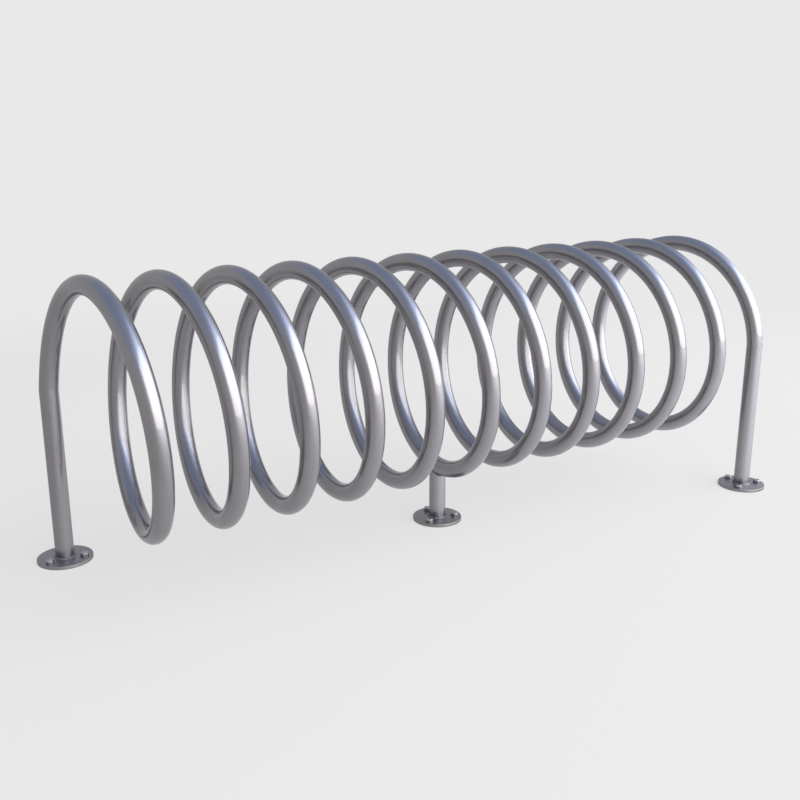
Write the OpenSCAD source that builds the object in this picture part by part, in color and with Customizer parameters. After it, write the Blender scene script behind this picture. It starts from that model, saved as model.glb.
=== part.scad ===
// Spiral bike rack: a coil of round tube lying on its side, on three flanged legs.
// X runs along the coil, the left end leg stands at +Y and the right one at -Y.
// The origin is on the ground, midway between the end legs.

/* [Rack] */
// Overall length, over the outer edges of the end flanges
rack_l = 1500; // [1200:10:2400]
// Whole turns of the coil, which ends half a turn later
whole_turns = 11; // [7:2:15]
// Outer diameter of the coil
coil_d = 450; // [380:5:600]
// Clear height between the ground and the coil
ground_gap = 100; // [60:5:160]

/* [Tube] */
// Outer diameter of the tube
tube_d = 33.7; // [26.9:0.1:42.4]
// Wall of the tube
tube_wall = 2.6; // [2:0.1:4]
// Flat sides that stand for the round of a bent tube
tube_sides = 12; // [8:4:16]
// Sections that stand for one turn of the coil
turn_sections = 36; // [24:12:36]

/* [Flanges] */
// Diameter of a flange
flange_d = 100; // [92:1:140]
// Thickness of a flange
flange_t = 6; // [4:0.5:10]
// Bevel of its upper edge
flange_bevel = 0.8; // [0.4:0.1:2]
// Vent and drain hole under the leg
vent_d = 12; // [6:1:20]
// Diameter of the bolt circle
bolt_circle_d = 72; // [64:1:78]
// Bolts in a flange
bolt_count = 3; // [2:1:4]

/* [Fixings] */
// Thread diameter of a bolt
bolt_d = 8; // [6:0.5:10]
// Play of the bolt in the flange
bolt_play = 1; // [0.5:0.1:2]
// Head across its flats
head_w = 13; // [11:0.5:15]
// Height of the head
head_h = 5.3; // [4:0.1:7]
// Height of the bevel round the top of the head
head_bevel = 0.9; // [0.4:0.1:1.5]
// Outer diameter of a washer
washer_d = 16; // [14:0.5:19]
// Thickness of a washer
washer_t = 1.6; // [1:0.1:2.5]
// Play of the bolt in its washer
washer_play = 0.4; // [0.2:0.1:0.8]
// Height of the end of the bolt's modelled shank above the ground
shank_lift = 0.5; // [0.2:0.1:1.5]

/* [Welds] */
// Leg length of the fillet weld round the foot of a leg
foot_weld = 3; // [2:0.5:5]
// Gap between two tube ends that a butt weld fills
butt_gap = 2; // [1:0.5:3]
// Width of the cap of a butt weld
butt_cap_w = 6; // [4:0.5:8]
// Height of that cap above the tube, dressed almost flush
butt_cap_h = 0.4; // [0.2:0.1:1]
// Leg length of the weld between the middle leg and the coil
saddle_weld = 3.5; // [2:0.5:5]
// Clearance of that weld from the round surfaces it lies on
saddle_clear = 0.1; // [0.05:0.05:0.3]
// Sections that stand for the round of that weld
saddle_sections = 36; // [24:6:48]

/* [Hidden] */
$fn = 48;

TUBE_COLOR = [0.56, 0.57, 0.60];
FLANGE_COLOR = [0.48, 0.49, 0.52];
WELD_COLOR = [0.52, 0.53, 0.55];
FIXING_COLOR = [0.68, 0.69, 0.71];

// The coil: a right-handed helix about a level axis
coil_angle = 360 * whole_turns + 180;
leg_x = (rack_l - flange_d) / 2;
pitch = 360 * 2 * leg_x / coil_angle;
tube_r = tube_d / 2;
bore_r = tube_r - tube_wall;
coil_r = coil_d / 2 - tube_r;
axis_z = ground_gap + coil_d / 2;
lead_angle = atan(pitch / (2 * PI * coil_r));
section_angle = 360 / turn_sections;

// Where the three stock lengths of the coil meet
joint_angles = [for (i = [0:3]) coil_angle * i / 3];
butt_angle = 360 * cos(lead_angle) * butt_gap / 2 / (2 * PI * coil_r);

// The middle leg stands under the lowest point that is nearest to the middle
lowest_angle = 270;
saddle_angle = lowest_angle + 360 * round((coil_angle / 2 - lowest_angle) / 360);
saddle_x = pitch * saddle_angle / 360 - leg_x;
saddle_z = axis_z - coil_r;
// Radius of the circle that fits the helix there
saddle_r = coil_r / pow(cos(lead_angle), 2);
// The leg ends this share of the tube's radius below the axis of the tube
cope_share = 0.45;
cope_z = saddle_z - cope_share * tube_r;
cope_angle = acos(cope_share);

// Bolts stand at these turns of the bolt circle
first_bolt_angle = 90;
// One overrun for every cut
cut_over = tube_d;
// The face of a weld bulges out by these shares of its leg length
foot_bulge_share = 0.6;
saddle_bulge_share = 0.15;
// The cap of a butt weld is this share of its width at its top
butt_top_share = 0.4;

// Places and directions along the coil
function coil_point(a) = [pitch * a / 360 - leg_x, coil_r * cos(a), axis_z + coil_r * sin(a)];
function coil_outward(a) = [0, cos(a), sin(a)];
function coil_along(a) = [
    sin(lead_angle),
    -cos(lead_angle) * sin(a),
    cos(lead_angle) * cos(a)
];
function coil_across(a) = cross(coil_along(a), coil_outward(a));

// One section of the tube at turn a, with radius q, square to the tube
function tube_ring(a, q) = [
    for (i = [0:tube_sides - 1])
    let (b = 360 * i / tube_sides)
    coil_point(a) + q * cos(b) * coil_outward(a) + q * sin(b) * coil_across(a)
];

// The same section slid along the tube onto a plane through c with normal n
function ring_on_plane(ring, along, c, n) = [
    for (p = ring) p + along * (n * (c - p)) / (n * along)
];

// Turns at which a stretch from a to b has its sections
function stretch_angles(a, b) = concat(
    [a],
    [
        for (i = [ceil(a / section_angle + 1 / 3):floor(b / section_angle - 1 / 3)])
        i * section_angle
    ],
    [b]
);

// Normal of the mitre plane between an end leg and the coil
mitre_angle = lead_angle / 2;
left_mitre = [sin(mitre_angle), 0, cos(mitre_angle)];
right_mitre = [sin(mitre_angle), 0, -cos(mitre_angle)];

// Sections of one stock length of the coil, with its ends set back for the welds
function length_ring(a, from, to, q) =
    a == from && from == 0 ? ring_on_plane(
        tube_ring(a, q), coil_along(a), coil_point(a) + left_mitre * butt_gap / 2, left_mitre
    )
    : a == to && to == coil_angle ? ring_on_plane(
        tube_ring(a, q), coil_along(a), coil_point(a) - right_mitre * butt_gap / 2, right_mitre
    )
    : tube_ring(a == from ? a + butt_angle : a == to ? a - butt_angle : a, q);

// Two triangles for each side between the rings that start at points a and b
function ring_walls(a, b, n) = [
    for (i = [0:n - 1])
    let (j = (i + 1) % n)
    each [[a + i, a + j, b + j], [a + i, b + j, b + i]]
];

// A hollow bent tube through a list of outer rings and a list of inner rings
module bent_tube(outer, inner) {
    n = tube_sides;
    count = len(outer);
    last = count - 1;
    start = n * count;
    points = concat([for (r = outer) each r], [for (r = inner) each r]);
    faces = concat(
        [for (k = [0:last - 1]) each ring_walls(k * n, (k + 1) * n, n)],
        [for (k = [0:last - 1]) each ring_walls(start + (k + 1) * n, start + k * n, n)],
        ring_walls(start, 0, n),
        ring_walls(last * n, start + last * n, n)
    );
    polyhedron(points = points, faces = faces, convexity = 20);
}

// One stock length of the coil, between two of its joints
module coil_length(from, to) {
    turns = stretch_angles(from, to);
    color(TUBE_COLOR)
    bent_tube(
        [for (a = turns) length_ring(a, from, to, tube_r)],
        [for (a = turns) length_ring(a, from, to, bore_r)]
    );
}

// Sets its children at turn a of the coil, with their Z along the tube
module on_coil(a) {
    translate([pitch * a / 360 - leg_x, 0, axis_z])
    rotate([a, 0, 0])
    translate([0, coil_r, 0])
    rotate([0, lead_angle, 0])
    children();
}

// Sets its children on the ground under a leg
module at_left_foot() {
    translate([-leg_x, coil_r, 0]) children();
}
module at_middle_foot() {
    translate([saddle_x, 0, 0]) children();
}
module at_right_foot() {
    translate([leg_x, -coil_r, 0]) children();
}

// Sets its children at the bolts of a flange
module at_bolts() {
    for (i = [0:bolt_count - 1])
        rotate([0, 0, first_bolt_angle + 360 * i / bolt_count])
        translate([bolt_circle_d / 2, 0, 0])
        children();
}

module coil_left() {
    coil_length(joint_angles[0], joint_angles[1]);
}
module coil_middle() {
    coil_length(joint_angles[1], joint_angles[2]);
}
module coil_right() {
    coil_length(joint_angles[2], joint_angles[3]);
}

// An end leg, from its flange to the mitre under the coil
module end_leg() {
    color(TUBE_COLOR)
    difference() {
        translate([0, 0, flange_t]) cylinder(r = tube_r, h = axis_z + cut_over - flange_t);
        cylinder(r = bore_r, h = axis_z + 2 * cut_over);
        translate([0, 0, axis_z])
        rotate([0, mitre_angle, 0])
        translate([-tube_d, -tube_d, -butt_gap / 2])
        cube([2 * tube_d, 2 * tube_d, 3 * cut_over]);
    }
}
module left_leg() {
    at_left_foot() end_leg();
}
module right_leg() {
    rotate([0, 0, 180]) at_left_foot() end_leg();
}

// The middle leg, coped at its top to the round of the coil above it
module middle_leg() {
    color(TUBE_COLOR)
    at_middle_foot()
    difference() {
        translate([0, 0, flange_t]) cylinder(r = tube_r, h = cope_z - flange_t);
        cylinder(r = bore_r, h = cope_z + cut_over);
        translate([0, 0, saddle_z + saddle_r])
        rotate([0, 0, -lead_angle])
        rotate([0, 90, 0])
        rotate_extrude($fn = 96)
        translate([saddle_r, 0])
        circle(r = tube_r);
    }
}

// A round flange with its bolt holes and the vent under the leg
module flange() {
    color(FLANGE_COLOR)
    difference() {
        union() {
            cylinder(d = flange_d, h = flange_t - flange_bevel, $fn = 96);
            translate([0, 0, flange_t - flange_bevel])
            cylinder(d1 = flange_d, d2 = flange_d - 2 * flange_bevel, h = flange_bevel, $fn = 96);
        }
        translate([0, 0, -cut_over]) cylinder(d = vent_d, h = flange_t + 2 * cut_over);
        at_bolts()
        translate([0, 0, -cut_over])
        cylinder(d = bolt_d + bolt_play, h = flange_t + 2 * cut_over);
    }
}
module left_flange() {
    at_left_foot() flange();
}
module middle_flange() {
    at_middle_foot() flange();
}
module right_flange() {
    at_right_foot() flange();
}

// The fillet weld round the foot of a leg
module foot_bead() {
    bulge = foot_weld * foot_bulge_share;
    color(WELD_COLOR)
    rotate_extrude()
    polygon([
        [tube_r, flange_t],
        [tube_r + foot_weld, flange_t],
        [tube_r + bulge, flange_t + bulge],
        [tube_r, flange_t + foot_weld]
    ]);
}
module left_foot_weld() {
    at_left_foot() foot_bead();
}
module middle_foot_weld() {
    at_middle_foot() foot_bead();
}
module right_foot_weld() {
    at_right_foot() foot_bead();
}

// A butt weld: the ring between two tube ends and its low cap
module butt_weld() {
    top = butt_cap_w * butt_top_share / 2;
    color(WELD_COLOR)
    rotate_extrude()
    polygon([
        [bore_r, -butt_gap / 2],
        [tube_r, -butt_gap / 2],
        [tube_r, -butt_cap_w / 2],
        [tube_r + butt_cap_h, -top],
        [tube_r + butt_cap_h, top],
        [tube_r, butt_cap_w / 2],
        [tube_r, butt_gap / 2],
        [bore_r, butt_gap / 2]
    ]);
}
module shoulder_weld() {
    at_left_foot() translate([0, 0, axis_z]) rotate([0, mitre_angle, 0]) butt_weld();
}
module left_shoulder_weld() {
    shoulder_weld();
}
module right_shoulder_weld() {
    rotate([0, 0, 180]) shoulder_weld();
}
module left_coil_joint_weld() {
    on_coil(joint_angles[1]) butt_weld();
}
module right_coil_joint_weld() {
    on_coil(joint_angles[2]) butt_weld();
}

// Height of the middle of the coil's tube over the saddle, v along the tube
function saddle_mid(v) = saddle_z + saddle_r - sqrt(pow(saddle_r, 2) - pow(v, 2));
// A point on the coil's tube over the saddle, t degrees up from its lowest line
function saddle_point(t, v) = [
    (tube_r + saddle_clear) * sin(t),
    v,
    saddle_mid(v) - (tube_r + saddle_clear) * cos(t)
];
// One section of the saddle weld, in the direction a round the leg
function saddle_section(a) =
    let (
        side = cos(a) < 0 ? -1 : 1,
        up = min(asin(abs(cos(a))), cope_angle),
        q = tube_r + saddle_clear,
        v = q * sin(a),
        root_z = saddle_mid(v) - q * cos(up),
        root = [q * cos(a), v, root_z - saddle_clear],
        toe = [q * cos(a), v, root_z - saddle_weld],
        reach = up + saddle_weld * 360 / (2 * PI * tube_r) * abs(cos(a)),
        far_v = v + saddle_weld * sin(a),
        high = saddle_point(side * reach, far_v),
        mid = (toe + high) / 2,
        face = mid + saddle_weld * saddle_bulge_share * [cos(a), sin(a), -1]
    )
    [root, toe, face, high];

// The weld round the top of the middle leg
module middle_saddle_weld() {
    n = 4;
    count = saddle_sections;
    rings = [for (i = [0:count - 1]) saddle_section(360 * i / count)];
    points = [for (r = rings) each r];
    faces = [for (k = [0:count - 1]) each ring_walls(k * n, ((k + 1) % count) * n, n)];
    color(WELD_COLOR)
    at_middle_foot()
    rotate([0, 0, -lead_angle])
    polyhedron(points = points, faces = faces, convexity = 6);
}

// A hexagon head bolt, standing on its washer, with its shank in the flange
module anchor_bolt() {
    seat_z = flange_t + washer_t;
    corner_r = head_w / 2 / cos(30);
    union() {
        translate([0, 0, shank_lift]) cylinder(d = bolt_d, h = seat_z - shank_lift, $fn = 32);
        translate([0, 0, seat_z])
        intersection() {
            cylinder(r = corner_r, h = head_h, $fn = 6);
            union() {
                cylinder(r = corner_r, h = head_h - head_bevel);
                translate([0, 0, head_h - head_bevel])
                cylinder(r1 = corner_r, r2 = head_w / 2 - head_bevel / 2, h = head_bevel);
            }
        }
    }
}
module anchor_bolts() {
    color(FIXING_COLOR) at_bolts() anchor_bolt();
}
module left_anchor_bolts() {
    at_left_foot() anchor_bolts();
}
module middle_anchor_bolts() {
    at_middle_foot() anchor_bolts();
}
module right_anchor_bolts() {
    at_right_foot() anchor_bolts();
}

// A plain washer under each bolt head
module washers() {
    color(FIXING_COLOR)
    at_bolts()
    translate([0, 0, flange_t])
    difference() {
        cylinder(d = washer_d, h = washer_t);
        translate([0, 0, -cut_over]) cylinder(d = bolt_d + washer_play, h = washer_t + 2 * cut_over);
    }
}
module left_washers() {
    at_left_foot() washers();
}
module middle_washers() {
    at_middle_foot() washers();
}
module right_washers() {
    at_right_foot() washers();
}

coil_left();
coil_middle();
coil_right();
left_leg();
middle_leg();
right_leg();
left_flange();
middle_flange();
right_flange();
left_foot_weld();
middle_foot_weld();
right_foot_weld();
left_shoulder_weld();
right_shoulder_weld();
left_coil_joint_weld();
right_coil_joint_weld();
middle_saddle_weld();
left_anchor_bolts();
middle_anchor_bolts();
right_anchor_bolts();
left_washers();
middle_washers();
right_washers();
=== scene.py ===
"""Visual model of a spiral bike rack: a coil of steel tube on three flanged legs."""
import logging
import math
from collections.abc import Callable, Iterator, Sequence
from contextlib import contextmanager
from dataclasses import dataclass
from enum import Enum

import bmesh
import bpy
from mathutils import Matrix, Vector


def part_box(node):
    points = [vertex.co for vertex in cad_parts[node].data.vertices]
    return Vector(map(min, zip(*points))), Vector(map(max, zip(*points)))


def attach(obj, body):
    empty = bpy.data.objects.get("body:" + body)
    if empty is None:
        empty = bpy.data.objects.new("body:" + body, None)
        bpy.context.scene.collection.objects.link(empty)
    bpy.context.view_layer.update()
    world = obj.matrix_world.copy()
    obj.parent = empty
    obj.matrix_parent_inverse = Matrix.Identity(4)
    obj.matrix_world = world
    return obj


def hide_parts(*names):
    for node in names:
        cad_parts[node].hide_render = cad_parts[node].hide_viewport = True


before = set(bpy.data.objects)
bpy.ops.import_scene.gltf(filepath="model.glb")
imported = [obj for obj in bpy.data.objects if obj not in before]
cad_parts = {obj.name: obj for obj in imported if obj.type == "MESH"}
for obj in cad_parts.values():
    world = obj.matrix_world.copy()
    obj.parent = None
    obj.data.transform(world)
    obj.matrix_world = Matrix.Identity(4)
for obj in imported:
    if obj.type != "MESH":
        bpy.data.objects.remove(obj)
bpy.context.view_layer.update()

LOG = logging.getLogger("bike_rack")
MM = 0.001
TURN = 2 * math.pi
BODY = "root"
UV_NAME = "tube_uv"
HEX_SIDES = 6
SAME_SPOT = 0.001 * MM
NEAR = 0.01 * MM
Object = bpy.types.Object
Socket = bpy.types.NodeSocket
Pair = tuple[float, float]
Locator = Callable[[Vector], Pair]
Colour = tuple[float, float, float]
Tone = Colour | Socket


class Slot(Enum):
    """The record's material slots, each paired with one or more of the finishes."""

    TUBE = "tube_steel"
    FLANGE = "flange_steel"
    WELD = "weld_steel"
    FIXING = "fixing_steel"


class Place(Enum):
    """The three legs, by where they stand along the coil."""

    LEFT = "left"
    MIDDLE = "middle"
    RIGHT = "right"


def select_only(obj: Object) -> None:
    """Makes obj the only selected object, and the active one.

    Args:
        obj: The object that the next operators act on.
    """
    bpy.ops.object.select_all(action="DESELECT")
    obj.select_set(True)
    bpy.context.view_layer.objects.active = obj


@contextmanager
def edit_mode(obj: Object) -> Iterator[bmesh.types.BMesh]:
    """Opens obj in edit mode with all of it selected, and closes it again.

    Args:
        obj: The mesh object to edit.

    Yields:
        The edit mesh, for selecting by place.
    """
    select_only(obj)
    bpy.ops.object.mode_set(mode="EDIT")
    bpy.ops.mesh.select_mode(type="VERT")
    bpy.ops.mesh.select_all(action="SELECT")
    try:
        yield bmesh.from_edit_mesh(obj.data)
    finally:
        bpy.ops.object.mode_set(mode="OBJECT")


def select_verts(mesh: bmesh.types.BMesh, wanted: Callable[[Vector], bool]) -> None:
    """Narrows the selection to the vertices whose place passes a test, and what is between them.

    Args:
        mesh: An open edit mesh.
        wanted: Says for a place in metres whether the vertex there is selected.
    """
    bpy.ops.mesh.select_all(action="DESELECT")
    for vert in mesh.verts:
        vert.select = wanted(vert.co)
    mesh.select_flush(True)


def apply_place(obj: Object) -> Object:
    """Moves the object's place into its mesh, which leaves the object at the origin.

    Args:
        obj: The object.

    Returns:
        The same object.
    """
    select_only(obj)
    bpy.ops.object.transform_apply(location=True, rotation=True, scale=True)
    return obj


def new_shape(operator: Callable[..., set[str]], name: str, **settings: object) -> Object:
    """Adds a primitive to start a piece from.

    Args:
        operator: The operator that adds it.
        name: Name of the new object.
        settings: The operator's own settings.

    Returns:
        The new object.
    """
    operator(**settings)
    shape = bpy.context.object
    shape.name = shape.data.name = name
    return shape


def cylinder(
    name: str, sides: int, radius: float, height: float, middle: Sequence[float], **settings: object
) -> Object:
    """Adds an upright cylinder.

    Args:
        name: Name of the new object.
        sides: Flat sides round it.
        radius: Its radius.
        height: Its height.
        middle: The place of its middle.
        settings: The operator's other settings.

    Returns:
        The cylinder, with its place in its mesh.
    """
    return apply_place(new_shape(
        bpy.ops.mesh.primitive_cylinder_add, name, vertices=sides, radius=radius, depth=height,
        location=middle, **settings,
    ))


def apply_modifier(obj: Object, kind: str, **settings: object) -> None:
    """Adds one modifier to obj and applies it.

    Args:
        obj: The mesh object.
        kind: Blender's type name of the modifier.
        settings: The modifier's own settings.
    """
    select_only(obj)
    modifier = obj.modifiers.new(kind.title(), kind)
    for name, value in settings.items():
        setattr(modifier, name, value)
    bpy.ops.object.modifier_apply(modifier=modifier.name)


def cut(obj: Object, tool: Object, operation: str = "DIFFERENCE") -> None:
    """Cuts obj with a tool by a boolean operation, and deletes the tool."""
    apply_modifier(obj, "BOOLEAN", object=tool, operation=operation, solver="EXACT")
    bpy.data.objects.remove(tool)


def seal(obj: Object) -> None:
    """Merges doubled vertices and turns all faces outwards.

    Args:
        obj: The mesh object.
    """
    with edit_mode(obj):
        bpy.ops.mesh.remove_doubles(threshold=SAME_SPOT)
        bpy.ops.mesh.normals_make_consistent(inside=False)


def give_wall(skin: Object, wall: float) -> None:
    """Seals a tube's skin and gives it a wall on its inner side."""
    seal(skin)
    apply_modifier(skin, "SOLIDIFY", thickness=wall, offset=-1)


def smooth(obj: Object, degrees: float) -> None:
    """Shades obj smooth, with sharp edges where it turns by more than so many degrees."""
    select_only(obj)
    bpy.ops.object.shade_smooth_by_angle(angle=math.radians(degrees))


def copy_to_places(template: Object, places: dict[str, Matrix]) -> list[Object]:
    """Copies a solid that was modelled once to each of its places, and removes the template.

    Args:
        template: The solid, at the origin.
        places: Where each copy goes, by its name.

    Returns:
        The copies, each with a mesh of its own that holds its place.
    """
    copies = []
    for name, place in places.items():
        twin = template.copy()
        twin.data = template.data.copy()
        twin.data.transform(place)
        twin.name = twin.data.name = name
        bpy.context.scene.collection.objects.link(twin)
        copies.append(twin)
    bpy.data.objects.remove(template)
    return copies


def join(parts: list[Object], name: str) -> Object:
    """Joins several solids into one piece.

    Args:
        parts: The solids, of which the first is kept.
        name: Name of the piece.

    Returns:
        The piece.
    """
    bpy.ops.object.select_all(action="DESELECT")
    for part in parts:
        part.select_set(True)
    bpy.context.view_layer.objects.active = parts[0]
    bpy.ops.object.join()
    parts[0].name = parts[0].data.name = name
    return parts[0]


def write_tube_uv(obj: Object, locate: Locator, girth: float) -> None:
    """Writes a UV map in metres: U round the tube and V along it.

    Args:
        obj: The mesh object.
        locate: Gives for a place the way round and the way along, in metres.
        girth: The tube's circumference, for the faces that cross its seam.
    """
    mesh = obj.data
    for old in list(mesh.uv_layers):
        mesh.uv_layers.remove(old)
    layer = mesh.uv_layers.new(name=UV_NAME)
    spots = [locate(vert.co) for vert in mesh.vertices]
    for face in mesh.polygons:
        corners = [spots[mesh.loops[i].vertex_index] for i in face.loop_indices]
        highest = max(u for u, _ in corners)
        for i, (u, v) in zip(face.loop_indices, corners):
            layer.data[i].uv = (u + girth if highest - u > girth / 2 else u, v)


def turn_profile(name: str, outline: list[Pair], steps: int) -> Object:
    """Spins a closed outline once round the Z axis.

    Args:
        name: Name of the solid.
        outline: Points as distance from the axis and height, in metres.
        steps: Sections round the axis.

    Returns:
        The closed solid, at the origin.
    """
    ring = new_shape(bpy.ops.mesh.primitive_circle_add, name, vertices=len(outline), radius=1)
    for vert, (radius, height) in zip(ring.data.vertices, outline):
        vert.co = (radius, 0, height)
    with edit_mode(ring):
        bpy.ops.mesh.spin(steps=steps, angle=TURN, center=(0, 0, 0), axis=(0, 0, 1))
    seal(ring)
    return ring


@dataclass(frozen=True)
class RackSizes:
    """The rack's sizes in metres, measured on the CAD nodes or named as in the source."""

    tube_r: float
    leg_x: float
    leg_y: float
    axis_z: float
    flange_r: float
    flange_t: float
    turns: float = 11.5
    stock_lengths: int = 3
    wall: float = 2.6 * MM
    butt_gap: float = 2.0 * MM
    cope_share: float = 0.45

    @classmethod
    def from_frame(cls) -> "RackSizes":
        """Measures the CAD nodes.

        Returns:
            The sizes.
        """
        leg_low, leg_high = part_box("right_leg")
        flange_low, flange_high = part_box("right_flange")
        coil_low, coil_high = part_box("coil_middle")
        return cls(
            tube_r=(leg_high.x - leg_low.x) / 2,
            leg_x=(leg_high.x + leg_low.x) / 2,
            leg_y=-(leg_high.y + leg_low.y) / 2,
            axis_z=(coil_high.z + coil_low.z) / 2,
            flange_r=(flange_high.x - flange_low.x) / 2,
            flange_t=flange_high.z,
        )

    @property
    def girth(self) -> float:
        """The tube's circumference."""
        return TURN * self.tube_r

    def feet(self, part: str, height: float = 0.0) -> dict[str, Matrix]:
        """Gives a place at some height over each foot, by the name of the piece that goes there."""
        up = Vector((0, 0, height))
        return {f"{place.value}_{part}": Matrix.Translation(self.foot(place) + up) for place in Place}

    def foot(self, place: Place) -> Vector:
        """Gives the point on the ground under a leg."""
        side = {Place.LEFT: -1, Place.MIDDLE: 0, Place.RIGHT: 1}[place]
        return Vector((side * self.leg_x, -side * self.leg_y, 0))


@dataclass(frozen=True)
class Helix:
    """The coil's centre line: a right-handed helix about a level axis along X."""

    start_x: float
    axis_z: float
    radius: float
    pitch: float
    full_turn: float

    @classmethod
    def from_sizes(cls, sizes: RackSizes) -> "Helix":
        """Fits the helix between the two end legs.

        Args:
            sizes: The rack's sizes.

        Returns:
            The helix.
        """
        return cls(
            start_x=-sizes.leg_x,
            axis_z=sizes.axis_z,
            radius=sizes.leg_y,
            pitch=2 * sizes.leg_x / sizes.turns,
            full_turn=TURN * sizes.turns,
        )

    @property
    def lead(self) -> float:
        """The angle at which the coil climbs along its axis, in radians."""
        return math.atan(self.pitch / (TURN * self.radius))

    @property
    def reach(self) -> float:
        """Length of the centre line for each radian that it turns."""
        return self.radius / math.cos(self.lead)

    @property
    def low_z(self) -> float:
        """Height of the centre line at the lowest point of a turn."""
        return self.axis_z - self.radius

    @property
    def bend(self) -> float:
        """Radius of the circle that fits the centre line best at any one place."""
        return self.radius / math.cos(self.lead) ** 2

    def centre_z(self, along: float) -> float:
        """Gives the height of the centre line a short way along the tube from a lowest point."""
        return self.low_z + self.bend - math.sqrt(self.bend**2 - along**2)

    def mitre_normal(self, sign: int) -> Vector:
        """Gives the normal of the plane where coil and leg meet, with sign 1 at the left end."""
        half = self.lead / 2
        return Vector((math.sin(half), 0, sign * math.cos(half)))

    def spot(self, turn: float) -> Matrix:
        """Gives the place on the coil at an angle, with Z along the tube and Y outwards.

        Args:
            turn: The angle from the left end, in radians.

        Returns:
            The place as a matrix.
        """
        along = Matrix.Translation((self.start_x + self.pitch * turn / TURN, 0, self.axis_z))
        outward = Matrix.Translation((0, self.radius, 0))
        lean = Matrix.Rotation(self.lead, 4, "Y")
        return along @ Matrix.Rotation(turn, 4, "X") @ outward @ lean

    def nearest_turn(self, point: Vector) -> float:
        """Finds the angle of the section that a point on the tube belongs to.

        Args:
            point: A point on or in the tube.

        Returns:
            The angle from the left end, in radians.
        """
        angle = math.atan2(point.z - self.axis_z, point.y)
        guess = (point.x - self.start_x) / self.pitch * TURN
        return angle + TURN * round((guess - angle) / TURN)

    def tube_spot(self, point: Vector) -> Pair:
        """Gives how far round and along the tube a point lies, in metres.

        Args:
            point: A point on the tube.

        Returns:
            The way round and the way along.
        """
        turn = self.nearest_turn(point)
        local = self.spot(turn).inverted() @ point
        return math.atan2(local.x, local.y) * Vector((local.x, local.y)).length, turn * self.reach


class NodeTree:
    """Adds shader nodes to a material, lamp or world with their settings in one call."""

    def __init__(self, owner: bpy.types.ID) -> None:
        """Empties a node tree, to be filled anew.

        Args:
            owner: The material, lamp or world that it belongs to.
        """
        owner.use_nodes = True
        self.tree = owner.node_tree
        self.tree.nodes.clear()

    def add(
        self, kind: str, sockets: dict[str | int, object] | None = None, **settings: object
    ) -> bpy.types.Node:
        """Adds one node.

        Args:
            kind: The node's type, without the ShaderNode prefix.
            sockets: Values for its inputs; an output socket is linked.
            settings: The node's own settings.

        Returns:
            The node.
        """
        node = self.tree.nodes.new("ShaderNode" + kind)
        for name, value in settings.items():
            setattr(node, name, value)
        for name, value in (sockets or {}).items():
            if isinstance(value, Socket):
                self.tree.links.new(value, node.inputs[name])
            else:
                node.inputs[name].default_value = value
        return node

    def noise(self, vector: Socket, scale: float, detail: float) -> Socket:
        """Adds a noise pattern of so many features to a metre, with so many finer layers."""
        node = self.add("TexNoise", {"Vector": vector, "Scale": scale, "Detail": detail})
        return node.outputs["Fac"]

    def span(self, value: Socket, low: float, high: float, start: float = 0.3, end: float = 0.7) -> Socket:
        """Goes from low to high while a value goes from start to end, by default a noise's middle."""
        sockets = {"Value": value, "From Min": start, "From Max": end, "To Min": low, "To Max": high}
        return self.add("MapRange", sockets).outputs["Result"]

    def ease(self, value: Socket, start: float, end: float) -> Socket:
        """Goes smoothly from 0 to 1 while a value goes from start to end."""
        sockets = {"Value": value, "From Min": start, "From Max": end}
        return self.add("MapRange", sockets, interpolation_type="SMOOTHSTEP").outputs["Result"]

    def object_place(self) -> Socket:
        """Gives the place of the shaded point in the object's own coordinates."""
        return self.add("TexCoord").outputs["Object"]

    def axis(self, vector: Socket, name: str) -> Socket:
        """Takes the X, Y or Z of a vector."""
        return self.add("SeparateXYZ", {"Vector": vector}).outputs[name]

    def combine(self, operation: str, first: Socket, second: Socket) -> Socket:
        """Works out a Math node's operation on two values."""
        return self.add("Math", {0: first, 1: second}, operation=operation).outputs[0]

    def blend(self, share: Socket, first: Tone, second: Tone) -> Socket:
        """Mixes two colours.

        Args:
            share: How much of the second colour there is.
            first: A colour, as a socket or as red, green and blue.
            second: The other colour.

        Returns:
            The mixed colour.
        """
        sockets = {0: share}
        for place, tone in ((6, first), (7, second)):
            sockets[place] = (*tone, 1) if isinstance(tone, tuple) else tone
        return self.add("Mix", sockets, data_type="RGBA").outputs[2]


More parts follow.
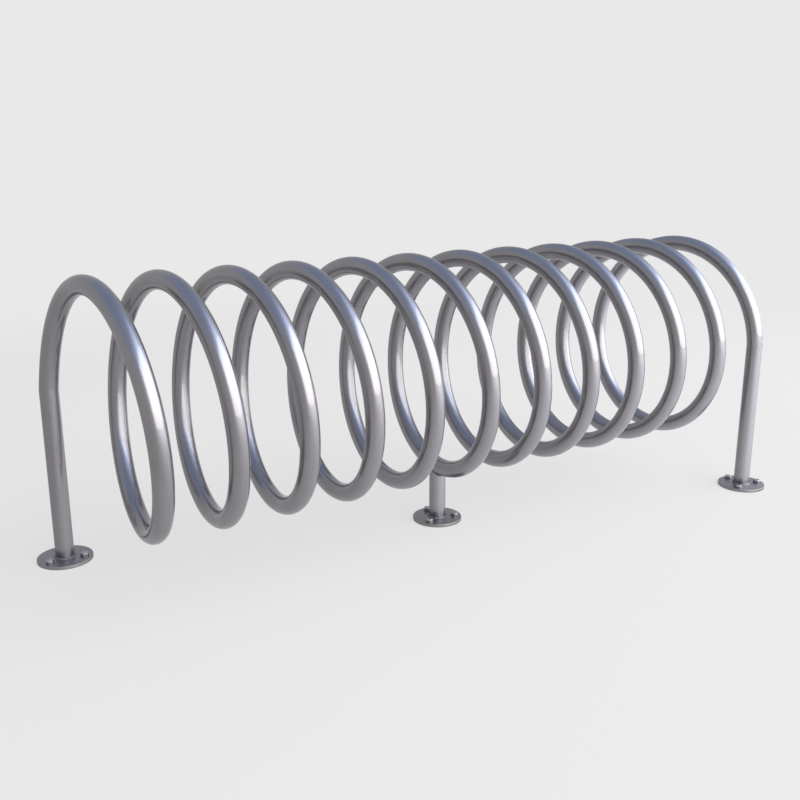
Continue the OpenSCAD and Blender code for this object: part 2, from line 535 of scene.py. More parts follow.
@dataclass(frozen=True)
class SteelFinish:
    """Ground and polished steel: a satin body under a sharp polish, with clouds and specks.

    The ground body spreads what it mirrors over a wide cone, and the polish mirrors it sharply.
    """

    name: str
    light: Colour
    dark: Colour
    roughness: Pair
    polish: float = 0.5
    polish_ior: float = 2.1
    polish_roughness: float = 0.05
    edge: tuple[float, float, float, float] = (0.60, 0.60, 0.63, 1)
    cloud_size: float = 60 * MM
    cloud_layers: float = 5.0
    speck_size: float = 3 * MM
    speck_layers: float = 6.0
    speck_depth: float = 0.02 * MM
    speck_roughness: Pair = (-0.02, 0.03)
    bump_strength: float = 0.5
    grain_share: float = 0.6

    def grain(self, nodes: NodeTree) -> Socket:
        """Adds the fine pattern that the tone, the roughness and the bump follow."""
        return nodes.noise(nodes.object_place(), 1 / self.speck_size, self.speck_layers)

    def material(self) -> bpy.types.Material:
        """Builds the material.

        Returns:
            The material.
        """
        made = bpy.data.materials.new(self.name)
        nodes = NodeTree(made)
        clouds = nodes.noise(nodes.object_place(), 1 / self.cloud_size, self.cloud_layers)
        grain = self.grain(nodes)
        ground = nodes.span(clouds, *self.roughness)
        fine = nodes.span(grain, *self.speck_roughness)
        rough = nodes.combine("ADD", ground, fine)
        bump = nodes.add(
            "Bump", {"Height": grain, "Distance": self.speck_depth, "Strength": self.bump_strength}
        )
        cloudy = nodes.span(clouds, 0, 1 - self.grain_share)
        grainy = nodes.span(grain, 0, self.grain_share)
        tone = nodes.blend(nodes.combine("ADD", cloudy, grainy), self.light, self.dark)
        shader = nodes.add(
            "BsdfPrincipled",
            {
                "Base Color": tone,
                "Metallic": 1.0,
                "Roughness": rough,
                "Specular Tint": self.edge,
                "Coat Weight": self.polish,
                "Coat IOR": self.polish_ior,
                "Coat Roughness": self.polish_roughness,
                "Normal": bump.outputs["Normal"],
            },
        )
        nodes.add("OutputMaterial", {"Surface": shader.outputs["BSDF"]})
        return made


@dataclass(frozen=True)
class TubeFinish(SteelFinish):
    """Steel whose grain is drawn out along the tube by the polishing belt."""

    line_w: float = 2.4 * MM
    line_l: float = 180 * MM
    line_layers: float = 4.0

    def grain(self, nodes: NodeTree) -> Socket:
        """Adds fine lines along the tube.

        Args:
            nodes: The material's node tree.

        Returns:
            The pattern.
        """
        wrap = nodes.add("UVMap", uv_map=UV_NAME).outputs["UV"]
        scale = (1 / self.line_w, 1 / self.line_l, 1)
        drawn = nodes.add("Mapping", {"Vector": wrap, "Scale": scale}).outputs["Vector"]
        return nodes.noise(drawn, 1.0, self.line_layers)


TUBE_FINISH = TubeFinish(
    "polished_tube", light=(0.208, 0.200, 0.212), dark=(0.167, 0.160, 0.171), roughness=(0.34, 0.40),
    polish=0.45, speck_depth=0.003 * MM,
)
FLANGE_FINISH = SteelFinish(
    "polished_plate", light=(0.240, 0.228, 0.234), dark=(0.212, 0.202, 0.207), roughness=(0.44, 0.52),
    polish=0.25,
)
WELD_FINISH = SteelFinish(
    "weld_bead", light=(0.155, 0.148, 0.156), dark=(0.125, 0.120, 0.127), roughness=(0.50, 0.60),
    polish=0.08,
)
SEAM_FINISH = SteelFinish(
    "dressed_seam", light=(0.192, 0.184, 0.196), dark=(0.173, 0.166, 0.177), roughness=(0.35, 0.41),
)
FIXING_FINISH = SteelFinish(
    "plated_fixing", light=(0.330, 0.325, 0.330), dark=(0.280, 0.275, 0.280), roughness=(0.36, 0.44),
    polish=0.4,
)
WASHER_FINISH = SteelFinish(
    "plated_washer", light=(0.200, 0.195, 0.202), dark=(0.170, 0.165, 0.172), roughness=(0.42, 0.50),
    polish=0.3,
)


class Finish(Enum):
    """The finishes that the pieces can have, each with the record's slot that it belongs to."""

    TUBE = (TUBE_FINISH, Slot.TUBE)
    FLANGE = (FLANGE_FINISH, Slot.FLANGE)
    WELD = (WELD_FINISH, Slot.WELD)
    SEAM = (SEAM_FINISH, Slot.WELD)
    FIXING = (FIXING_FINISH, Slot.FIXING)
    WASHER = (WASHER_FINISH, Slot.FIXING)

    def __init__(self, steel: SteelFinish, slot: Slot) -> None:
        """Keeps the steel and the slot that an option is given as."""
        self.steel = steel
        self.slot = slot


class Workshop:
    """Dresses finished pieces, sets them on the frame and reports them."""

    def __init__(self) -> None:
        """Makes each finish once."""
        self.finishes = {finish: finish.steel.material() for finish in Finish}

    def deliver(self, piece: Object, finish: Finish, node: str) -> None:
        """Gives a piece its finish and its body, hides the CAD node that it stands for and logs which node
        that is.

        Args:
            piece: The finished piece.
            finish: The finish it gets.
            node: The CAD node that it replaces.
        """
        piece.data.materials.clear()
        piece.data.materials.append(self.finishes[finish])
        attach(piece, BODY)
        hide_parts(node)
        LOG.info("%s stands for %s, with %d faces", piece.name, node, len(piece.data.polygons))


@dataclass
class Maker:
    """What makes one kind of piece, to the rack's sizes and for its workshop."""

    sizes: RackSizes
    workshop: Workshop


@dataclass
class Coil(Maker):
    """The coil: three stock lengths of tube, wound on a helix and butt-welded."""

    helix: Helix
    sides: int = 48
    turn_steps: int = 120
    trim_turn: float = math.radians(1.5)
    trim_rings: float = math.radians(12)
    sharp_angle: float = 50

    def ends(self, index: int) -> Pair:
        """Gives the angles between which a stock length runs.

        Args:
            index: 0 for the left length.

        Returns:
            Its first and last angle, in radians.
        """
        gap = self.sizes.butt_gap / 2 / self.helix.reach
        step = self.helix.full_turn / self.sizes.stock_lengths
        first = index * step + (gap if index else -self.trim_turn)
        last_index = index == self.sizes.stock_lengths - 1
        last = (index + 1) * step + (self.trim_turn if last_index else -gap)
        return first, last

    def wind(self, name: str, first: float, last: float) -> Object:
        """Winds a stretch of tube skin.

        Args:
            name: Name of the piece.
            first: The angle at which it starts, in radians.
            last: The angle at which it ends.

        Returns:
            The open skin, at the origin.
        """
        start = Matrix.Translation((0, 0, -self.sizes.axis_z)) @ self.helix.spot(first)
        tube = new_shape(
            bpy.ops.mesh.primitive_circle_add, name, vertices=self.sides, radius=self.sizes.tube_r,
            location=start.translation, rotation=start.to_euler(),
        )
        apply_place(tube)
        steps = round((last - first) / TURN * self.turn_steps)
        apply_modifier(
            tube, "SCREW", axis="X", angle=last - first, use_merge_vertices=False,
            screw_offset=self.helix.pitch * (last - first) / TURN, steps=steps, render_steps=steps,
        )
        tube.location.z = self.sizes.axis_z
        return apply_place(tube)

    def mitre(self, tube: Object, turn: float, sign: int) -> None:
        """Cuts an end of the coil on the plane where it meets its leg.

        Args:
            tube: The skin of the end length.
            turn: The angle of that end, in radians.
            sign: 1 at the left end and -1 at the right one.
        """
        normal = self.helix.mitre_normal(sign)
        centre = self.helix.spot(turn).translation + sign * normal * self.sizes.butt_gap / 2
        with edit_mode(tube) as mesh:
            select_verts(mesh, lambda co: abs(self.helix.nearest_turn(co) - turn) < self.trim_rings)
            bpy.ops.mesh.bisect(
                plane_co=centre, plane_no=normal, clear_inner=sign > 0, clear_outer=sign < 0
            )

    def build(self) -> None:
        """Builds and dresses the three lengths."""
        for index, place in enumerate(Place):
            tube = self.wind(f"{place.value}_coil_tube", *self.ends(index))
            if place is Place.LEFT:
                self.mitre(tube, 0.0, 1)
            if place is Place.RIGHT:
                self.mitre(tube, self.helix.full_turn, -1)
            give_wall(tube, self.sizes.wall)
            smooth(tube, self.sharp_angle)
            write_tube_uv(tube, self.helix.tube_spot, self.sizes.girth)
            self.workshop.deliver(tube, Finish.TUBE, f"coil_{place.value}")


@dataclass
class Legs(Maker):
    """The three legs: two mitred end legs and the middle one, coped to the coil."""

    helix: Helix
    sides: int = 72
    overrun: float = 30 * MM
    ring_drop: float = 5 * MM
    cope_band: float = 1.5 * MM
    cope_steps: int = 720
    sharp_angle: float = 40

    def pipe(self, name: str, foot: Vector, top: float) -> Object:
        """Makes an upright tube skin from the flange up.

        Args:
            name: Name of the piece.
            foot: The point on the ground under it.
            top: Height of its top.

        Returns:
            The open skin, at the origin.
        """
        height = top - self.sizes.flange_t
        middle = (foot.x, foot.y, self.sizes.flange_t + height / 2)
        return cylinder(name, self.sides, self.sizes.tube_r, height, middle, end_fill_type="NOTHING")

    def finish(self, pipe: Object, foot: Vector) -> None:
        """Shades a leg and writes its UV map.

        Args:
            pipe: The leg.
            foot: The point on the ground under it.
        """
        smooth(pipe, self.sharp_angle)

        def locate(point: Vector) -> Pair:
            """Gives the way round the leg and the height of a point."""
            angle = math.atan2(point.x - foot.x, point.y - foot.y)
            return angle * self.sizes.tube_r, point.z

        write_tube_uv(pipe, locate, self.sizes.girth)

    def end_legs(self) -> list[Object]:
        """Makes the left end leg, mitred at its top, and turns a copy to the right end.

        Returns:
            The left and the right leg.
        """
        foot = self.sizes.foot(Place.LEFT)
        pipe = self.pipe("end_leg", foot, self.sizes.axis_z + self.overrun)
        normal = self.helix.mitre_normal(1)
        centre = Vector((foot.x, foot.y, self.sizes.axis_z)) - normal * self.sizes.butt_gap / 2
        with edit_mode(pipe):
            bpy.ops.mesh.bisect(plane_co=centre, plane_no=normal, clear_outer=True)
        give_wall(pipe, self.sizes.wall)
        self.finish(pipe, foot)
        half_turn = Matrix.Rotation(math.pi, 4, "Z")
        return copy_to_places(pipe, {"left_leg_tube": Matrix(), "right_leg_tube": half_turn})

    def underside(self, point: Vector) -> float:
        """Gives the height of the coil's skin right above a point of the middle leg.

        Args:
            point: The point, on the leg's skin.

        Returns:
            The height, in metres.
        """
        level = Matrix.Rotation(self.helix.lead, 2) @ point.xy
        centre = self.helix.centre_z(level.y)
        return centre - math.sqrt(max(0.0, self.sizes.tube_r**2 - level.x**2))

    def middle_leg(self) -> Object:
        """Makes the middle leg, coped with the round of the coil above it.

        Returns:
            The piece.
        """
        foot = self.sizes.foot(Place.MIDDLE)
        top = self.helix.low_z - self.sizes.cope_share * self.sizes.tube_r
        pipe = self.pipe("middle_leg_tube", foot, top)
        low_ring = self.helix.low_z - self.sizes.tube_r - self.ring_drop
        high_ring = low_ring + self.cope_band
        with edit_mode(pipe):
            for height in (low_ring, high_ring):
                bpy.ops.mesh.select_all(action="SELECT")
                bpy.ops.mesh.bisect(plane_co=(0, 0, height), plane_no=(0, 0, 1))
        for vert in pipe.data.vertices:
            if abs(vert.co.z - high_ring) < self.cope_band / 2:
                vert.co.z = min(top, self.underside(vert.co)) - self.cope_band
        give_wall(pipe, self.sizes.wall)
        lie = Matrix.Rotation(-self.helix.lead, 4, "Z") @ Matrix.Rotation(math.pi / 2, 4, "Y")
        turn_above = new_shape(
            bpy.ops.mesh.primitive_torus_add, "turn_above",
            major_radius=self.helix.bend, minor_radius=self.sizes.tube_r,
            major_segments=self.cope_steps, minor_segments=self.sides,
            location=(foot.x, foot.y, self.helix.low_z + self.helix.bend), rotation=lie.to_euler(),
        )
        cut(pipe, turn_above)
        self.finish(pipe, foot)
        return pipe

    def build(self) -> None:
        """Builds and dresses the three legs."""
        left, right = self.end_legs()
        for place, pipe in zip(Place, (left, self.middle_leg(), right)):
            self.workshop.deliver(pipe, Finish.TUBE, f"{place.value}_leg")


@dataclass
class Feet(Maker):
    """What stands at the foot of each leg: flange, anchor bolts and washers."""

    bolt_circle_r: float = 36 * MM
    bolt_count: int = 3
    first_bolt: float = math.pi / 2
    bolt_r: float = 4 * MM
    hole_r: float = 4.5 * MM
    vent_r: float = 6 * MM
    hole_sides: int = 48
    drill_l: float = 24 * MM
    flange_sides: int = 144
    flange_bevel: float = 0.8 * MM
    flange_bevel_steps: int = 4
    head_w: float = 13 * MM
    head_h: float = 5.3 * MM
    head_bevel: float = 0.9 * MM
    crown_sides: int = 96
    crown_spare: float = 1 * MM
    dish_rim: float = 1.2 * MM
    dish_depth: float = 0.25 * MM
    edge_bevel: float = 0.12 * MM
    edge_bevel_steps: int = 2
    shank_lift: float = 0.5 * MM
    shank_chamfer: float = 0.6 * MM
    shank_overlap: float = 0.5 * MM
    washer_r: float = 8 * MM
    washer_bore_r: float = 4.2 * MM
    washer_t: float = 1.6 * MM
    washer_soft: float = 0.25 * MM
    washer_sides: int = 64
    plate_angle: float = 35
    bolt_angle: float = 25
    washer_angle: float = 30

    def bolt_places(self, part: str) -> dict[str, Matrix]:
        """Gives the place of each bolt round the Z axis, by the name and number of its piece."""
        out = Matrix.Translation((self.bolt_circle_r, 0, 0))
        return {
            f"{part}_{i}": Matrix.Rotation(self.first_bolt + TURN * i / self.bolt_count, 4, "Z") @ out
            for i in range(self.bolt_count)
        }

    def drill(self, plate: Object, spot: Vector, radius: float) -> None:
        """Cuts an upright hole through a plate at a spot."""
        cut(plate, cylinder("drill_bit", self.hole_sides, radius, self.drill_l, spot))

    def flange(self) -> Object:
        """Makes a flange with a softened upper edge.

        Returns:
            The flange, about the Z axis.
        """
        thick = self.sizes.flange_t
        middle = (0, 0, thick / 2)
        plate = cylinder("foot_plate", self.flange_sides, self.sizes.flange_r, thick, middle)
        with edit_mode(plate) as mesh:
            select_verts(mesh, lambda co: co.z > thick / 2)
            bpy.ops.mesh.bevel(offset=self.flange_bevel, segments=self.flange_bevel_steps)
        for place in self.bolt_places("hole").values():
            self.drill(plate, place.translation, self.hole_r)
        self.drill(plate, Vector(), self.vent_r)
        smooth(plate, self.plate_angle)
        return plate

    def bolt(self) -> Object:
        """Makes one hexagon head bolt at the height at which it sits on its washer.

        Returns:
            The bolt, about the Z axis.
        """
        seat = self.sizes.flange_t + self.washer_t
        top = seat + self.head_h
        corner_r = self.head_w / 2 / math.cos(math.pi / HEX_SIDES)
        middle = (0, 0, seat + self.head_h / 2)
        head = cylinder("hex_head", HEX_SIDES, corner_r, self.head_h, middle)
        flat_r = self.head_w / 2 - self.head_bevel / 2
        low_r = corner_r + self.crown_spare
        shoulder = top - self.head_bevel
        crown = [
            (0.0, seat - self.washer_t),
            (low_r, seat - self.washer_t),
            (low_r, shoulder - (low_r - corner_r) * self.head_bevel / (corner_r - flat_r)),
            (flat_r, top),
            (0.0, top),
        ]
        cut(head, turn_profile("crown_tool", crown, self.crown_sides), "INTERSECT")
        with edit_mode(head) as mesh:
            select_verts(mesh, lambda co: co.z > top - NEAR)
            bpy.ops.mesh.inset(thickness=self.dish_rim, depth=-self.dish_depth)
        apply_modifier(
            head, "BEVEL", width=self.edge_bevel, segments=self.edge_bevel_steps, limit_method="ANGLE"
        )
        shank = [
            (0.0, self.shank_lift),
            (self.bolt_r - self.shank_chamfer, self.shank_lift),
            (self.bolt_r, self.shank_lift + self.shank_chamfer),
            (self.bolt_r, seat + self.shank_overlap),
            (0.0, seat + self.shank_overlap),
        ]
        bolt = join([head, turn_profile("shank", shank, self.hole_sides)], "bolt")
        smooth(bolt, self.bolt_angle)
        return bolt

    def washer(self) -> Object:
        """Makes one washer, stamped with a soft outer edge.

        Returns:
            The washer, about the Z axis.
        """
        low = self.sizes.flange_t
        high = low + self.washer_t
        soft = self.washer_soft
        outline = [
            (self.washer_bore_r, low),
            (self.washer_r - soft / 2, low),
            (self.washer_r, low + soft / 2),
            (self.washer_r, high - soft),
            (self.washer_r - soft, high),
            (self.washer_bore_r, high),
        ]
        ring = turn_profile("washer", outline, self.washer_sides)
        smooth(ring, self.washer_angle)
        return ring

    def ring_of(self, fastener: Object, part: str) -> list[Object]:
        """Sets a fastener on every bolt hole, with those of each flange joined to one piece."""
        trio = join(copy_to_places(fastener, self.bolt_places(part)), part)
        return copy_to_places(trio, self.sizes.feet(part))

    def build(self) -> None:
        """Builds and dresses the flanges, bolts and washers."""
        plates = copy_to_places(self.flange(), self.sizes.feet("foot_plate"))
        bolts = self.ring_of(self.bolt(), "hex_bolts")
        washers = self.ring_of(self.washer(), "bolt_washers")
        for place, plate, heads, rings in zip(Place, plates, bolts, washers):
            self.workshop.deliver(plate, Finish.FLANGE, f"{place.value}_flange")
            self.workshop.deliver(heads, Finish.FIXING, f"{place.value}_anchor_bolts")
            self.workshop.deliver(rings, Finish.WASHER, f"{place.value}_washers")


@dataclass
class Welds(Maker):
    """All weld metal: foot fillets, dressed butt welds and the saddle under the coil."""

    helix: Helix
    foot_leg: float = 3 * MM
    cap_w: float = 6 * MM
    cap_h: float = 0.12 * MM
    cap_steps: int = 5
    saddle_leg: float = 3.5 * MM
    ripple: float = 2.1 * MM
    ripple_depth: float = 0.16 * MM
    ripple_steps: int = 6
    ripple_bow: float = 1.6
    face_depth: float = 0.5
    face_edge: float = 0.02
    face_steps: int = 10
    bulge: float = 0.25
    cap_sides: int = 120
    cope_ease: float = 0.35
    ledge_rise: float = 0.5
    clear: float = 0.05 * MM
    bead_angle: float = 60
    cap_angle: float = 40

    def bead(self, name: str, leg: float) -> Object:
        """Makes a rippled fillet bead round an upright tube, its root at height 0.

        Args:
            name: Name of the piece.
            leg: Leg length of the fillet.

        Returns:
            The bead, about the Z axis.
        """
        root = self.sizes.tube_r
        outline = [(root, 0.0)]
        for step in range(self.face_steps + 1):
            share = step / self.face_steps
            flat = Vector((1 - share, share))
            rounded = Vector((math.cos(math.pi / 2 * share), math.sin(math.pi / 2 * share)))
            spot = leg * flat.lerp(rounded, self.bulge)
            outline.append((root + spot.x, spot.y))
        count = round(TURN * root / self.ripple)
        ring = turn_profile(name, outline, count * self.ripple_steps)
        for vert in ring.data.vertices:
            radius = math.hypot(vert.co.x, vert.co.y)
            out = Vector((radius - root, vert.co.z))
            depth = out.length / leg
            if depth < self.face_depth or min(out) < self.face_edge * leg:
                continue
            skew = abs(math.atan2(out.y, out.x) - math.pi / 4)
            phase = count * math.atan2(vert.co.y, vert.co.x) + self.ripple_bow * skew * skew
            dip = self.ripple_depth * (0.5 - 0.5 * math.cos(phase)) ** 2
            shrink = 1 - dip / out.length
            around = Vector((vert.co.x, vert.co.y)) / radius
            new_r = root + out.x * shrink
            vert.co = (around.x * new_r, around.y * new_r, out.y * shrink)
        return ring

    def cap(self) -> Object:
        """Makes a dressed butt weld: the ring between two tube ends and its low cap.

        Returns:
            The weld, about the Z axis.
        """
        outer, inner = self.sizes.tube_r, self.sizes.tube_r - self.sizes.wall
        half, gap = self.cap_w / 2, self.sizes.butt_gap / 2
        shares = [step / self.cap_steps for step in range(-self.cap_steps, self.cap_steps + 1)]
        crown = [
            (outer + self.cap_h * math.cos(math.pi / 2 * share) ** 2, share * half) for share in shares
        ]
        outline = [(inner, -gap), (outer, -gap), *crown, (outer, gap), (inner, gap)]
        ring = turn_profile("seam", outline, self.cap_sides)
        smooth(ring, self.cap_angle)
        return ring

    def saddle(self) -> Object:
        """Makes the bead that follows the cope of the middle leg round the coil's underside.

        Returns:
            The piece.
        """
        ring = self.bead("middle_saddle_bead", self.saddle_leg)
        for vert in ring.data.vertices:
            vert.co = self.seat(vert.co)
        ring.data.transform(Matrix.Rotation(-self.helix.lead, 4, "Z"))
        seal(ring)
        smooth(ring, self.bead_angle)
        return ring

    def underside(self, lean: float, along: float) -> Vector:
        """Gives a point just off the coil, by its angle from the lowest line and its way along."""
        out = self.sizes.tube_r + self.clear
        return Vector((out * math.sin(lean), along, self.helix.centre_z(along) - out * math.cos(lean)))

    def lean_at(self, across: float) -> float:
        """Gives how far round the coil's tube the bead lies, eased into its highest place.

        Args:
            across: The share of the leg's radius that the place lies to the side.

        Returns:
            The angle from the lowest line of the tube, in radians.
        """
        cope = math.asin(min(1.0, across))
        highest = math.acos(self.sizes.cope_share)
        share = min(1.0, max(0.0, 0.5 + 0.5 * (highest - cope) / self.cope_ease))
        return highest + (cope - highest) * share - self.cope_ease * share * (1 - share)

    def seat(self, point: Vector) -> Vector:
        """Lays a point of a level bead on the saddle between the middle leg and the coil.

        Args:
            point: A point of a bead that stands on the ground round an upright tube.

        Returns:
            Its place, with X across the coil's tube and Y along it.
        """
        tube_r = self.sizes.tube_r
        radius = math.hypot(point.x, point.y)
        across, along = point.x / radius, point.y / radius
        lean = self.lean_at(abs(across))
        spread = (radius - tube_r) / tube_r * abs(across)
        skin = self.underside(lean + spread, radius * along)
        rise = min(1.0, point.z / (self.ledge_rise * self.saddle_leg))
        ledge = tube_r * (abs(across) - math.sin(lean)) * rise
        return Vector((math.copysign(skin.x + ledge, across), skin.y, skin.z - point.z))

    def build(self) -> None:
        """Builds and dresses all the welds."""
        bead = self.bead("foot_bead", self.foot_leg)
        smooth(bead, self.bead_angle)
        beads = copy_to_places(bead, self.sizes.feet("foot_bead", self.sizes.flange_t))
        for place, ring in zip(Place, beads):
            self.workshop.deliver(ring, Finish.WELD, f"{place.value}_foot_weld")
        third = self.helix.full_turn / self.sizes.stock_lengths
        lean = Matrix.Rotation(self.helix.lead / 2, 4, "Y")
        tops = self.sizes.feet("shoulder", self.sizes.axis_z)
        spots = {
            "left_shoulder": tops["left_shoulder"] @ lean,
            "right_shoulder": tops["right_shoulder"] @ lean.inverted(),
            "left_coil_joint": self.helix.spot(third),
            "right_coil_joint": self.helix.spot(2 * third),
        }
        seams = copy_to_places(self.cap(), {f"{name}_seam": place for name, place in spots.items()})
        for name, seam in zip(spots, seams):
            self.workshop.deliver(seam, Finish.SEAM, f"{name}_weld")
        self.workshop.deliver(self.saddle(), Finish.WELD, "middle_saddle_weld")


def set_up(data: bpy.types.ID, spot: Sequence[float], turn: Sequence[float]) -> Object:
    """Sets a lamp or a camera up in the scene.

    Args:
        data: The lamp or camera.
        spot: Where it stands.
        turn: How it is turned, as XYZ angles.

    Returns:
        The object that holds it.
    """
    holder = bpy.data.objects.new(data.name, data)
    holder.location = spot
    holder.rotation_euler = turn
    bpy.context.scene.collection.objects.link(holder)
    return holder


@dataclass(frozen=True)
class Lamp:
    """A flat rectangular lamp that the camera doesn't see."""

    name: str
    width: float
    height: float
    radiance: float

    def hang(self, spot: Sequence[float], turn: Sequence[float], strength: float) -> NodeTree:
        """Hangs the lamp in the studio.

        Args:
            spot: Where it hangs.
            turn: How it is turned, as XYZ angles.
            strength: How brightly it shines where its nodes give 1.

        Returns:
            The lamp's node tree, which shapes its light.
        """
        lamp = bpy.data.lights.new(self.name, "AREA")
        lamp.shape = "RECTANGLE"
        lamp.size, lamp.size_y = self.width, self.height
        lamp.energy = strength * math.pi * self.width * self.height
        set_up(lamp, spot, turn).visible_camera = False
        return NodeTree(lamp)


@dataclass(frozen=True)
class Softbox(Lamp):
    """A large soft lamp that fades towards its edge and changes colour towards its top."""

    azimuth: float
    elevation: float
    colour: Colour
    top_colour: Colour
    distance: float = 6.0
    core_share: float = 0.55

    def fade(self, nodes: NodeTree) -> None:
        """Shapes the lamp's light.

        Args:
            nodes: The lamp's node tree.
        """
        across = nodes.add("NewGeometry").outputs["Parametric"]
        centred = nodes.add(
            "Mapping", {"Vector": across, "Location": (-1, -1, 0), "Scale": (2, 2, 0)}
        ).outputs["Vector"]
        apart = nodes.add("VectorMath", {0: centred}, operation="ABSOLUTE").outputs["Vector"]
        falls = [nodes.ease(nodes.axis(apart, name), 1.0, self.core_share) for name in ("X", "Y")]
        share = nodes.combine("MULTIPLY", *falls)
        blue = nodes.span(nodes.axis(centred, "Y"), 0, 1, self.core_share / 2, 1)
        tone = nodes.blend(blue, self.colour, self.top_colour)
        shine = nodes.add("Emission", {"Color": tone, "Strength": share})
        nodes.add("OutputLight", {"Surface": shine.outputs[0]})

    def build(self, target: Vector) -> None:
        """Adds the lamp, facing the rack.

        Args:
            target: The middle of the rack.
        """
        azimuth, elevation = math.radians(self.azimuth), math.radians(self.elevation)
        level = math.cos(elevation)
        out = Vector((math.sin(azimuth) * level, math.cos(azimuth) * level, math.sin(elevation)))
        turn = out.to_track_quat("Z", "Y").to_euler()
        self.fade(self.hang(target + out * self.distance, turn, self.radiance))


@dataclass(frozen=True)
class LouvredPanel(Lamp):
    """A wide light lying on the floor, graded along the rack, whose louvres turn it to one side."""

    azimuth: float
    dark_x: float
    full_x: float
    tint: Colour
    lift: float = 5 * MM

    def build(self) -> None:
        """Adds the panel, shining up."""
        azimuth = math.radians(self.azimuth)
        nodes = self.hang((0, 0, self.lift), (math.pi, 0, 0), 1.0)
        spot = nodes.add("NewGeometry").outputs
        facing = nodes.add(
            "VectorMath",
            {0: spot["Incoming"], 1: (-math.sin(azimuth), -math.cos(azimuth), 0)},
            operation="DOT_PRODUCT",
        ).outputs["Value"]
        along = nodes.axis(spot["Position"], "X")
        graded = nodes.span(along, 0.0, self.radiance, self.dark_x, self.full_x)
        turned = nodes.span(facing, 0.0, 1.0, -1.0, 1.0)
        strength = nodes.combine("MULTIPLY", graded, turned)
        shine = nodes.add("Emission", {"Color": (*self.tint, 1), "Strength": strength})
        nodes.add("OutputLight", {"Surface": shine.outputs[0]})


SOFTBOXES = (
    Softbox(
        "key", width=13.0, height=8.0, radiance=4.2, azimuth=150, elevation=27,
        colour=(1.0, 0.985, 0.97), top_colour=(0.62, 0.80, 1.20), core_share=0.84,
    ),
    Softbox(
        "side", width=5.0, height=6.0, radiance=2.6, azimuth=92, elevation=12,
        colour=(0.90, 0.94, 1.06), top_colour=(0.70, 0.85, 1.15),
    ),
    Softbox(
        "sky", width=8.0, height=5.0, radiance=1.6, azimuth=122, elevation=60,
        colour=(0.65, 0.80, 1.15), top_colour=(0.60, 0.75, 1.15), core_share=0.2,
    ),
)
PANEL = LouvredPanel(
    "panel", width=8.0, height=8.0, radiance=1.8, azimuth=150,
    dark_x=-1.1, full_x=1.4, tint=(0.97, 0.98, 1.05),
)


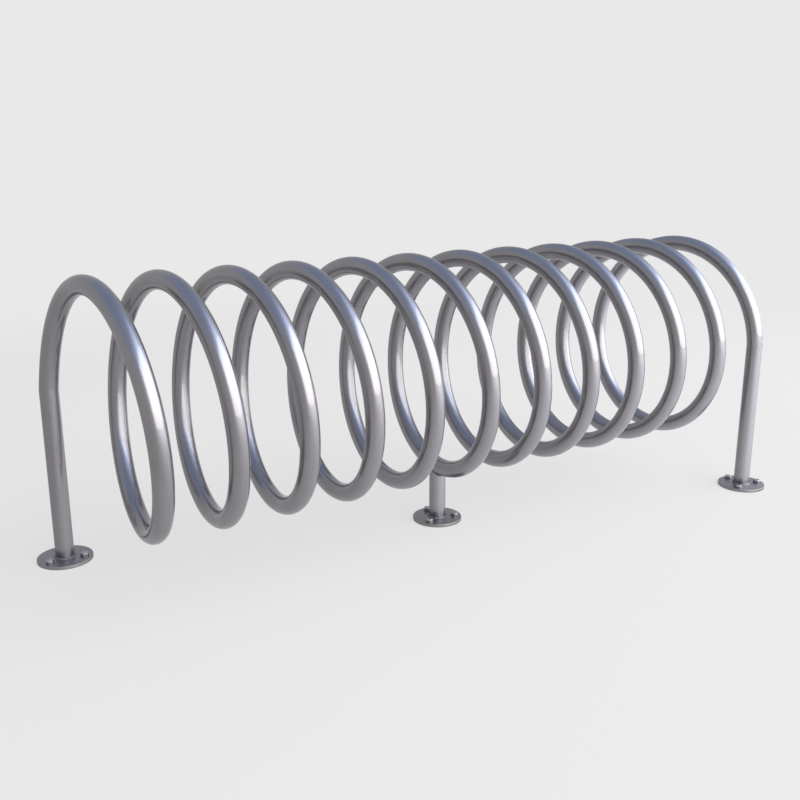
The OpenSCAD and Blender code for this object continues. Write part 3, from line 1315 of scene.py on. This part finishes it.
@dataclass
class Studio:
    """A pale studio: floor, world, lamps and the camera."""

    pale: float = 0.815
    ceiling: Colour = (0.56, 0.69, 0.98)
    blue_from: float = 0.4
    blue_full: float = 0.85
    floor_r: float = 6.0
    floor_sides: int = 128
    floor_drop: float = 0.2 * MM
    near_r: float = 1.6
    far_r: float = 3.6
    floor_tint: Colour = (1.0, 0.965, 0.90)
    floor_albedo: float = 0.14
    floor_glow: float = 0.615
    ambient: float = 0.56
    eye: tuple[float, float, float] = (-1.0357, -1.4815, 0.7307)
    yaw: float = 0.5675
    pitch: float = 0.2581
    focal_px: float = 930.1
    frame_px: float = 800.0
    sensor: float = 36.0

    def seen_share(self, nodes: NodeTree) -> Socket:
        """Gives 1 for the rays that should see the backdrop and 0 for those that carry light.

        Args:
            nodes: The node tree to add to.

        Returns:
            The share.
        """
        path = nodes.add("LightPath").outputs
        seen = nodes.combine("MAXIMUM", path["Is Camera Ray"], path["Is Glossy Ray"])
        return nodes.combine("MAXIMUM", seen, path["Is Transmission Ray"])

    def world(self) -> None:
        """Makes a world that is pale all round and turns a cool blue overhead."""
        made = bpy.data.worlds.new("studio")
        bpy.context.scene.world = made
        nodes = NodeTree(made)
        height = nodes.axis(nodes.add("TexCoord").outputs["Generated"], "Z")
        blue = nodes.ease(height, self.blue_from, self.blue_full)
        dome = nodes.blend(blue, (self.pale,) * 3, self.ceiling)
        tone = nodes.blend(self.seen_share(nodes), (self.ambient,) * 3, dome)
        shader = nodes.add("Background", {"Color": tone})
        nodes.add("OutputWorld", {"Surface": shader.outputs[0]})

    def floor(self) -> None:
        """Makes the floor, which keeps a soft shadow and fades into the pale world."""
        floor = apply_place(new_shape(
            bpy.ops.mesh.primitive_circle_add, "studio_floor", vertices=self.floor_sides,
            radius=self.floor_r, fill_type="NGON", location=(0, 0, -self.floor_drop),
        ))
        made = bpy.data.materials.new("pale_floor")
        nodes = NodeTree(made)
        spot = nodes.object_place()
        reach = nodes.add("VectorMath", {0: spot}, operation="LENGTH").outputs["Value"]
        far = nodes.ease(reach, self.near_r, self.far_r)
        albedo = nodes.span(far, self.floor_albedo, 0.0, 0.0, 1.0)
        glow = nodes.span(far, self.floor_glow, self.pale, 0.0, 1.0)
        seen = self.seen_share(nodes)
        strength = nodes.combine("MULTIPLY", glow, seen)
        tint = nodes.add("VectorMath", {0: self.floor_tint, "Scale": albedo}, operation="SCALE")
        matt = nodes.add("BsdfDiffuse", {"Color": tint.outputs["Vector"]})
        shine = nodes.add("Emission", {"Color": (1, 1, 1, 1), "Strength": strength})
        both = nodes.add("AddShader", {0: matt.outputs[0], 1: shine.outputs[0]})
        nodes.add("OutputMaterial", {"Surface": both.outputs[0]})
        floor.data.materials.append(made)

    def camera(self) -> None:
        """Sets the camera where the photograph was taken from."""
        lens = bpy.data.cameras.new("camera")
        lens.sensor_width = self.sensor
        lens.lens = self.focal_px / self.frame_px * self.sensor
        turn = (math.pi / 2 - self.pitch, 0, -self.yaw)
        bpy.context.scene.camera = set_up(lens, self.eye, turn)

    def build(self, target: Vector) -> None:
        """Builds the whole studio.

        Args:
            target: The middle of the rack, which the lamps face.
        """
        bpy.context.scene.view_settings.view_transform = "Standard"
        self.camera()
        self.world()
        self.floor()
        for box in SOFTBOXES:
            box.build(target)
        PANEL.build()


def main() -> None:
    """Builds the rack piece by piece, then the studio."""
    logging.basicConfig(level=logging.INFO, format="%(name)s: %(message)s")
    sizes = RackSizes.from_frame()
    helix = Helix.from_sizes(sizes)
    workshop = Workshop()
    Coil(sizes, workshop, helix).build()
    Legs(sizes, workshop, helix).build()
    Feet(sizes, workshop).build()
    Welds(sizes, workshop, helix).build()
    Studio().build(Vector((0, 0, sizes.axis_z)))


if __name__ == "__main__":
    main()
